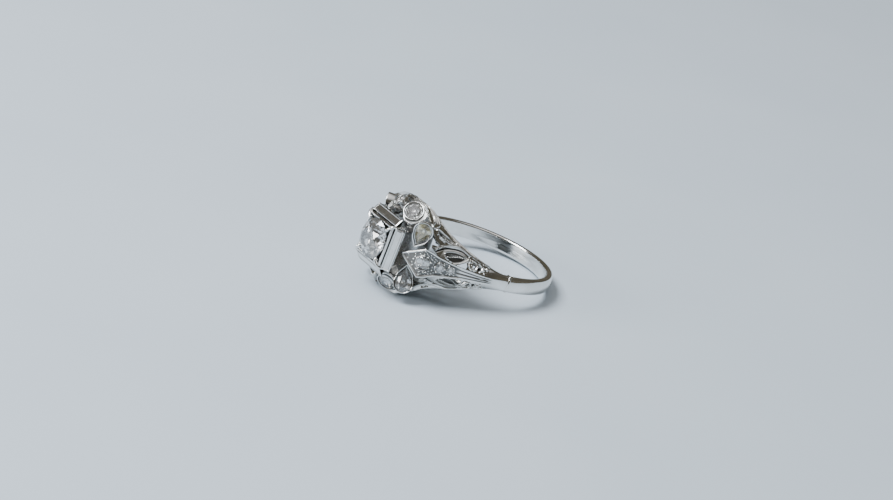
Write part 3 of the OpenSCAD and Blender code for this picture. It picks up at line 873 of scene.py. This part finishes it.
def build_bezels():
    """One round and one pear cup of the near north quarter, and where the pear's stone sits."""
    rb = Piece()
    m = basis(ROUND_AT, ROUND_DIR, (0, 0, 1))
    cup(rb, m, "round", *bezel_profile(ROUND_R, 1.0))
    pb = Piece()
    z = unit(PEAR_DIR)
    line = PEAR_TIP - PEAR_END
    line = line - (line @ z) * z
    pm = basis(PEAR_END + unit(line) * PEAR_R, PEAR_DIR, line)
    reach = (float(np.linalg.norm(line)) - PEAR_R) / PEAR_R
    cup(pb, pm, reach, *bezel_profile(PEAR_R, 0.96), n=96)
    # wire frame round the cup as (distance, angle), and the web that ties it to the cup
    loop = [(1.3, 10), (1.56, 36), (1.64, 58), (1.6, 80), (1.6, 105), (1.7, 129), (1.8, 156), (1.72, 174),
            (1.5, 197), (1.34, 225), (1.3, 250)]
    q = curve([(d * math.cos(math.radians(a)), d * math.sin(math.radians(a)), -0.14 - 0.12 * (d - 1.3))
               for d, a in loop], 8)
    inner = np.array([(ROUND_R - 0.03) * unit(x[:2]) for x in q])
    flat = place(m, np.hstack([inner, np.full((len(q), 1), -0.26)]))
    edge = place(m, q - [0, 0, 0.02])
    mid = (flat + edge) / 2
    k = len(q)
    under = place(m, np.hstack([inner, np.full((len(q), 1), -0.5)]))
    edge2 = place(m, q - [0, 0, 0.24])
    # the web under the wire frame is painted in heavy shade; the wire has none
    rb.add(np.vstack([flat, mid, edge, edge2, under]), [f[::-1] for f in strip(5, k, wrap_u=True)], 0.72)
    sweep(rb, place(m, q), np.tile(unit(ROUND_DIR), (k, 1)), half_round(0.09, 0.1, -0.1), painted_shade=0.0)
    return rb, pb, pm, reach


# ---------------------------------------------------------------- plates

# the plate's middle line as (x, z), then its half width by z
PLATE_LINE = np.array([
    [3.3, 14.4], [4.6, 13.83], [5.7, 13.28], [6.12, 13.0], [6.3, 12.5], [6.75, 10.8], [7.4, 9.2],
    [8.2, 7], [8.75, 5.1], [8.96, 3.3],
])
PLATE_HALF = np.array([
    [14.4, 0.02], [13.1, 1.85], [12.2, 1.62], [11.2, 1.26], [9.5, 0.92],
    [8, 0.7], [6.5, 0.52], [5, 0.4], [3.3, 0.3],
])
PLATE_FIELD = -0.13
# stones of a plate: x, z, lean of the stone in degrees, radius
PLATE_SET = [(5.95, 12.8, 56, 0.84), (6.82, 10.75, 73, 0.6), (7.27, 9.45, 70, 0.42)]


def leaning(lean):
    """Direction at an angle in degrees from upright toward the near end."""
    return np.array([math.sin(math.radians(lean)), 0, math.cos(math.radians(lean))])


def build_plates():
    """Sheet with a raised border, stone collars, seeded grains and a ribbed tail."""
    line = along(curve(PLATE_LINE, 14), 0.045)
    n = len(line)
    tan = unit(np.gradient(line, axis=0))
    nrm2 = np.stack([-tan[:, 1], tan[:, 0]], 1)
    half = np.interp(-line[:, 1], -PLATE_HALF[:, 0], PLATE_HALF[:, 1])
    m = 61
    t = np.linspace(-1, 1, m)
    P = np.zeros((n, m, 3))
    P[..., 0] = line[:, :1]
    P[..., 1] = half[:, None] * t[None]
    P[..., 2] = line[:, 1:]
    N = np.zeros_like(P)
    N[..., 0] = nrm2[:, :1]
    N[..., 2] = nrm2[:, 1:]
    flat = P.reshape(-1, 3)

    edge = np.minimum(away_from(flat, P[::4, 0]), away_from(flat, P[::4, -1])).reshape(n, m)
    width = 0.13 + 0.07 * smooth(P[..., 2], 6, 9.5)
    h = PLATE_FIELD * smooth(edge, width, width + 0.07)
    h += 0.03 * np.sqrt(np.clip(1 - ((edge - width / 2) / (width / 2)) ** 2, 0, 1))
    # painted shade over the sunk field inside the border, none on the border
    painted_shade = 0.8 * smooth(edge, width, width + 0.03)
    # raised collar and a well for each stone, both kept free of painted shade
    for x, z, lean, r in PLATE_SET:
        c = np.array([x, 0, z])
        out = leaning(lean)
        rel = flat - c
        d = np.linalg.norm(rel - (rel @ out)[:, None] * out, axis=1).reshape(n, m)
        collar = smooth(d, r - 0.02, r + 0.02) * (1 - smooth(d, r + 0.05, r + 0.12))
        h = np.where(d < r + 0.12, np.maximum(h, PLATE_FIELD + 0.1 * collar), h)
        painted_shade = np.where(d < r + 0.12, painted_shade * (1 - collar), painted_shade)
        well = 1 - smooth(d, r - 0.1, r)
        h = h - 0.16 * well
        painted_shade = painted_shade * (1 - well)
    # two long ribs and a groove on the tail, the groove and cuts filled with painted shade
    tail = smooth(9.0 - P[..., 2], 0, 0.8)
    rib = np.abs(t)[None] * half[:, None]
    groove = np.exp(-(rib / 0.07) ** 2)
    cut = np.exp(-((rib - half[:, None] * 0.55) / 0.045) ** 2)
    h = h * (1 - tail) + tail * (0.02 - 0.1 * groove * (1 - smooth(3.9 - P[..., 2], 0, 0.5)) - 0.09 * cut)
    painted_shade = painted_shade * (1 - tail) + tail * np.clip(groove + cut, 0, 1) * 0.9
    front = P + N * h[..., None]
    back = P - N * 0.36
    back[..., 1] *= 0.94
    v = np.concatenate([front.reshape(-1, 3), back.reshape(-1, 3)])
    base = Piece()
    # the back sheet is painted in mid shade
    base.add(v, slab(n, m), np.concatenate([painted_shade.ravel(), np.full(n * m, 0.4)]))

    def spot(z, y, lift=-0.05):
        k = int(np.argmin(np.abs(line[:, 1] - z)))
        o = np.array([nrm2[k, 0], 0, nrm2[k, 1]])
        return np.array([line[k, 0], y, line[k, 1]]) + o * lift, o

    for (x, z, lean, r), count, turn in zip(PLATE_SET, (8, 6, 5), (22.5, 30, 36)):
        out = leaning(lean)
        mm = basis(np.array([x, 0, z]), out, (0, 1, 0))
        for k in range(count):
            q = math.radians(turn + 360 / count * k)
            g = place(mm, [(r + 0.05) * math.cos(q), (r + 0.05) * math.sin(q), 0.0])[0]
            bead(base, g, out, 0.13 if r > 0.5 else 0.11, 0.9, 4, 10)
    # small grains filling the field between the stones and the border
    for row, z in enumerate(np.arange(8.7, 14.0, 0.29)):
        for y in np.arange(-2.0, 2.0, 0.36) + 0.18 * (row % 2):
            zz, yy = z + DICE.uniform(-0.05, 0.05), y + DICE.uniform(-0.05, 0.05)
            at, out = spot(zz, yy, -0.12)
            k = int(np.argmin(np.abs(line[:, 1] - zz)))
            clear = [np.linalg.norm(np.array([x, 0, c]) - at) - r for x, c, _, r in PLATE_SET]
            if abs(yy) < half[k] - 0.3 and min(clear) > 0.2:
                bead(base, at, out, DICE.uniform(0.09, 0.14), 0.95, 3, 8)
    for side, name in ENDS:
        q = base.quarter(side, 1)
        q.emit("kite_plate_" + name, PLATE, "plate_metal", "plate_" + name, sharp=60)
        for i, (x, z, lean, r) in enumerate(PLATE_SET):
            mm = basis(np.array([side * x, 0, z]), leaning(lean) * [side, 1, 1], (0, 1, 0))
            set_stone("plate_gem_%s_%d" % (name, i + 1), mm, r - 0.015, SMALL, "clear_stone",
                      "plate_stone_%s_%d" % (name, i + 1), turn=0.2 * i)


# ---------------------------------------------------------------- box head

BOX_TOP, BOX_FOOT, BOX_HALF, BOX_FOOT_HALF = 16.2, 10.1, 2.56, 1.9


def square_loop(half, corner, z, n=5):
    """A square with rounded corners at height z."""
    out = []
    for k, (sx, sy) in enumerate([(1, 1), (-1, 1), (-1, -1), (1, -1)]):
        for i in range(n):
            q = math.pi / 2 * (k + i / (n - 1))
            out.append((sx * (half - corner) + corner * math.cos(q),
                        sy * (half - corner) + corner * math.sin(q), z))
    return out


def build_box():
    slope = (BOX_HALF - BOX_FOOT_HALF) / (BOX_TOP - BOX_FOOT)
    half = lambda z: BOX_HALF - slope * (BOX_TOP - z)
    # each row: half width, corner radius, height and painted shade; the outside below the rim carries
    # moderate painted shade, the inside is painted darker toward the foot
    rows = [
        (half(10.1) - 0.28, 0.06, 10.1, 0.3), (half(10.1) - 0.04, 0.12, 10.1, 0.3),
        (half(10.2), 0.16, 10.2, 0.2),
        (half(13), 0.2, 13, 0.45), (half(14.2), 0.2, 14.2, 0.4), (half(15.3), 0.2, 15.3, 0.4),
        (half(15.75) - 0.02, 0.2, 15.75, 0.1), (half(15.8) + 0.05, 0.2, 15.82, 0),
        (half(16.1) + 0.05, 0.18, 16.08, 0),
        (half(16.2), 0.16, 16.17, 0), (half(16.2) - 0.05, 0.14, 16.2, 0), (half(16.2) - 0.2, 0.1, 16.2, 0),
        (half(16.2) - 0.27, 0.08, 16.15, 0.1), (half(16) - 0.34, 0.06, 15.9, 0.4),
        (half(14) - 0.34, 0.06, 14.0, 0.7),
        (half(10.2) - 0.28, 0.06, 10.2, 1),
    ]
    p = Piece()
    n = 20
    v = [q for h, c, z, _ in rows for q in square_loop(h, c, z)]
    d = [k for *_, k in rows for _ in range(n)]
    f = strip(len(rows), n, wrap_u=True, wrap_v=True)
    p.add(v, [q[::-1] for q in f], d)
    # two fine wires round the outside
    for z, r in ((15.6, 0.045), (14.0, 0.06)):
        loop = np.array(square_loop(half(z), 0.2, z))
        path = along(np.vstack([loop, loop[:1]]), 0.2)[:-1]
        sweep(p, path, unit(path * [1, 1, 0]), half_round(r, r, -0.03, 5), closed=True)
    p.emit("box_wall", BOX, "box_metal", "box", sharp=40)


def build_panels():
    """Flat tablets that slope out from under the rim, with a raised edge and a fine inner line."""
    hi, lo = np.array([2.82, 15.9]), np.array([3.68, 15.25])
    run = lo - hi
    tall = float(np.linalg.norm(run))
    out = unit(np.array([-run[1], run[0]]))
    length = 2 * BOX_HALF + 0.1
    nu, nv = 90, 26
    u = np.linspace(-length / 2, length / 2, nu)
    w = np.linspace(0, 1, nv)
    U, W = np.meshgrid(u, w, indexing="ij")
    edge = np.minimum(np.minimum(W, 1 - W) * tall, length / 2 - np.abs(U))
    h = -0.05 * smooth(edge, 0.13, 0.17) - 0.04 * (1 - smooth(edge, 0.0, 0.04))
    line = np.exp(-((edge - 0.2) / 0.022) ** 2)
    h = h - 0.03 * line
    # painted shade in the fine inner line and a trace over the whole face
    painted_shade = 0.8 * line + 0.06
    x = hi[0] + run[0] * W + out[0] * h
    z = hi[1] + run[1] * W + out[1] * h
    front = np.stack([x, U, z], -1)
    back = np.stack([hi[0] + run[0] * W - 0.17 * out[0], U * 0.985, hi[1] + run[1] * W - 0.17 * out[1]], -1)
    p = Piece()
    # the back sheet is painted in deep shade
    p.add(np.vstack([front.reshape(-1, 3), back.reshape(-1, 3)]), slab(nu, nv),
          np.concatenate([painted_shade.ravel(), np.full(nu * nv, 0.9)]))
    # ledge that ties the tablet's foot to the box
    prof = [(2.4, 15.12), (3.48, 15.12), (3.55, 15.17), (3.46, 15.25), (2.4, 15.27)]
    k = len(prof)
    vv = [(a, y, b) for y in (-length / 2 + 0.04, length / 2 - 0.04) for a, b in prof]
    ff = [(i, (i + 1) % k, k + (i + 1) % k, k + i)[::-1] for i in range(k)]
    ff += [tuple(range(k)), tuple(range(k, 2 * k))[::-1]]
    # the ledge under the tablet's foot is painted in full shade
    p.add(vv, ff, 1.0)
    for name, turn in (("near", 0), ("north", 90), ("far", 180), ("south", 270)):
        c, s = math.cos(math.radians(turn)), math.sin(math.radians(turn))
        spin = np.array([[c, s, 0], [-s, c, 0], [0, 0, 1]])
        p.moved(lambda v: v @ spin).emit("panel_plate_" + name, BOX, "box_metal", "panel_" + name, sharp=40)


def build_prongs():
    base = Piece()
    # post outside the corner, bent over the rim and ending in the grain that holds the stone
    path = curve([(2.61, 2.61, 14.6), (2.62, 2.62, 15.2), (2.63, 2.63, 15.8), (2.52, 2.52, 16.16),
                  (2.25, 2.25, 16.36), (1.98, 1.98, 16.44)], 8)
    k = np.interp(np.linspace(0, 1, len(path)), [0, 0.55, 0.8, 1], [0.14, 0.16, 0.17, 0.2])
    ring = [(math.cos(q), math.sin(q)) for q in np.linspace(0, 2 * math.pi, 15)[:-1]]
    nrm = np.tile(unit(np.array([1, -1, 0.0])), (len(path), 1))
    sweep(base, path, nrm, ring, scale=k)
    bead(base, (1.91, 1.91, 16.36), unit(np.array([0.25, 0.25, 1])), 0.28, 0.95, 7, 20)
    bead(base, (2.61, 2.61, 14.66), (0.3, 0.3, -1), 0.18, 0.7, 5, 14)
    for name, (sx, sy) in QUARTERS.items():
        base.quarter(sx, sy).emit("claw_" + name, BEZEL, "box_metal", "prong_" + name)


def build_gallery():
    p = Piece()
    top, foot = BOX_FOOT, BOX_FOOT - 0.42
    n = 96
    q = np.linspace(0, 2 * math.pi, n, endpoint=False)
    out = []
    for a in q:
        c, s = math.cos(a), math.sin(a)
        r = 1 / ((abs(c) / 2.5) ** 3.2 + (abs(s) / 4.05) ** 3.2) ** (1 / 3.2)
        out.append((r * c, r * s))
    out = np.array(out)
    inn = np.stack([1.45 * np.cos(q), 1.45 * np.sin(q)], 1)
    rows = []
    for k, z in ((0.02, foot), (0.0, foot + 0.07), (0.0, top - 0.07), (0.02, top), (0.94, top),
                 (1.0, top - 0.06), (1.0, foot + 0.06), (0.94, foot)):
        rows.append(np.hstack([out * (1 - k) + inn * k, np.full((n, 1), z)]))
    f = strip(len(rows), n, wrap_u=True, wrap_v=True)
    # the whole gallery plate under the head is painted in mid shade
    p.add(np.vstack(rows), [x[::-1] for x in f], 0.5)
    p.emit("gallery_plate", FILIGREE, "filigree_metal", "gallery")


# ---------------------------------------------------------------- put the head together


def build_head():
    rb, pb, pm, reach = build_bezels()
    warp = lambda q: pear_radius(q, 1.0, reach)
    for name, (sx, sy) in QUARTERS.items():
        rq = rb.quarter(sx, sy)
        shift = PEAR_FAR_SHIFT if sx < 0 else np.zeros(3)
        pq = pb.quarter(sx, sy).moved(lambda v: v + shift)
        rq.emit("round_cup_" + name, BEZEL, "bezel_metal", "round_bezel_" + name)
        pq.emit("pear_cup_" + name, BEZEL, "bezel_metal", "pear_bezel_" + name)
        at = np.array([sx, sy, 1]) * (ROUND_AT - unit(ROUND_DIR) * STONE_DROP)
        m = basis(at, np.array([sx, sy, 1]) * ROUND_DIR, (0, 0, 1))
        set_stone("round_gem_" + name, m, 0.99, SMALL, "clear_stone", "round_stone_" + name,
                  turn=0.2 * sx + 0.1 * sy)
        z = unit(PEAR_DIR * [sx, sy, 1])
        line = (PEAR_TIP - PEAR_END) * [sx, sy, 1]
        line = line - (line @ z) * z
        c = pm[:3, 3] * [sx, sy, 1] - z * STONE_DROP + shift
        m = basis(c, z, line)
        mat, slot = (CHAMPAGNE, "champagne_stone") if name == "north_near" else (SMALL, "clear_stone")
        set_stone("pear_gem_" + name, m, 0.95, mat, slot, "pear_stone_" + name, warp=warp, crown=0.32,
                  depth=0.62)
    m = basis((0, 0, BOX_TOP + 0.18), (0, 0, 1), (1, 0, 0))
    set_stone("centre_gem", m, 2.45, CLEAR, "clear_stone", "centre_stone", table=0.5, crown=0.35, low=0.5,
              depth=0.88,
              culet=0.09, turn=0.2)


build_shank()
build_shoulder()
build_collar()
build_rims()
build_webs()
build_sprays()
build_skirts()
build_plates()
build_box()
build_panels()
build_prongs()
build_gallery()
build_head()

# ---------------------------------------------------------------- floor, light, camera

FLOOR_SIZE, FLOOR_GAP = 0.6, 0.00002


def build_floor():
    n = 60
    z = cad_box[0][2] - FLOOR_GAP
    step = [(i / (n - 1) - 0.5) * 2 * FLOOR_SIZE for i in range(n)]
    v = [(x, y, z) for x in step for y in step]
    mesh = bpy.data.meshes.new("floor")
    mesh.from_pydata(v, [], strip(n, n))
    mat, nt, p = nodes_of("pale_table")
    c = ramp(nt, noise(nt, 30, 3), [(0.3, (0.505, 0.575, 0.645)), (0.7, (0.53, 0.6, 0.665))])
    nt.links.new(c, p.inputs["Base Color"])
    p.inputs["Roughness"].default_value = 0.6
    mesh.materials.append(mat)
    obj = bpy.data.objects.new("floor", mesh)
    bpy.context.scene.collection.objects.link(obj)


def stand(obj, x, y, z, at):
    """Puts an object in the scene with its axes and origin as given."""
    obj.matrix_world = Matrix([[x[i], y[i], z[i], at[i]] for i in range(3)] + [[0, 0, 0, 1]])
    bpy.context.scene.collection.objects.link(obj)


def area(name, at, aim, size, power, color=(1, 1, 1), tall=None):
    d = bpy.data.lights.new(name, "AREA")
    d.energy = power
    d.color = color
    d.shape = "RECTANGLE"
    d.size = size
    d.size_y = tall or size
    o = bpy.data.objects.new(name, d)
    at, aim = np.asarray(at, float), np.asarray(aim, float)
    z = unit(at - aim)
    x = unit(np.cross((0, 0, 1) if abs(z[2]) < 0.99 else (0, 1, 0), z))
    stand(o, x, np.cross(z, x), z, at)


def build_world():
    w = bpy.data.worlds.new("studio")
    w.use_nodes = True
    nt = w.node_tree
    bg = nt.nodes["Background"]
    tc = nt.nodes.new("ShaderNodeTexCoord")
    sep = nt.nodes.new("ShaderNodeSeparateXYZ")
    nt.links.new(tc.outputs["Generated"], sep.inputs[0])
    r = ramp(nt, sep.outputs["Z"],
             [(0.0, (0.17, 0.155, 0.12)), (0.3, (0.12, 0.11, 0.085)), (0.72, (0.14, 0.13, 0.11)),
                                    (0.8, (0.75, 0.76, 0.77)), (1.0, (1.7, 1.7, 1.7))])
    nt.links.new(r, bg.inputs["Color"])
    bg.inputs["Strength"].default_value = 0.8
    bpy.context.scene.world = w


CAMERA_AWAY = 0.3


def build_camera():
    """Axes in the upright frame, so the view follows the ring as it lies."""
    right = np.array([0.53940, 0.35643, -0.76289])
    up = np.array([-0.42585, 0.89706, 0.11802])
    back = np.array([0.7264, 0.2612, 0.6357])
    cam = bpy.data.cameras.new("camera")
    cam.lens = 99.1
    cam.sensor_width = 36
    cam.shift_x = -0.0361
    cam.shift_y = 0.0049
    cam.clip_start = 0.01
    cam.clip_end = 20
    o = bpy.data.objects.new("camera", cam)
    stand(o, unit(LAY @ right), unit(LAY @ up), unit(LAY @ back), (LAY @ back) * CAMERA_AWAY)
    bpy.context.scene.camera = o


build_floor()
build_world()
build_camera()
area("window", (-0.3, 0.12, 0.47), (0, 0, 0), 0.28, 5.7, (0.9, 0.95, 1.0), 0.24)
area("left_strip", (-0.42, 0.12, 0.14), (0, 0, 0), 0.2, 1.0, (1, 1, 1), 0.08)
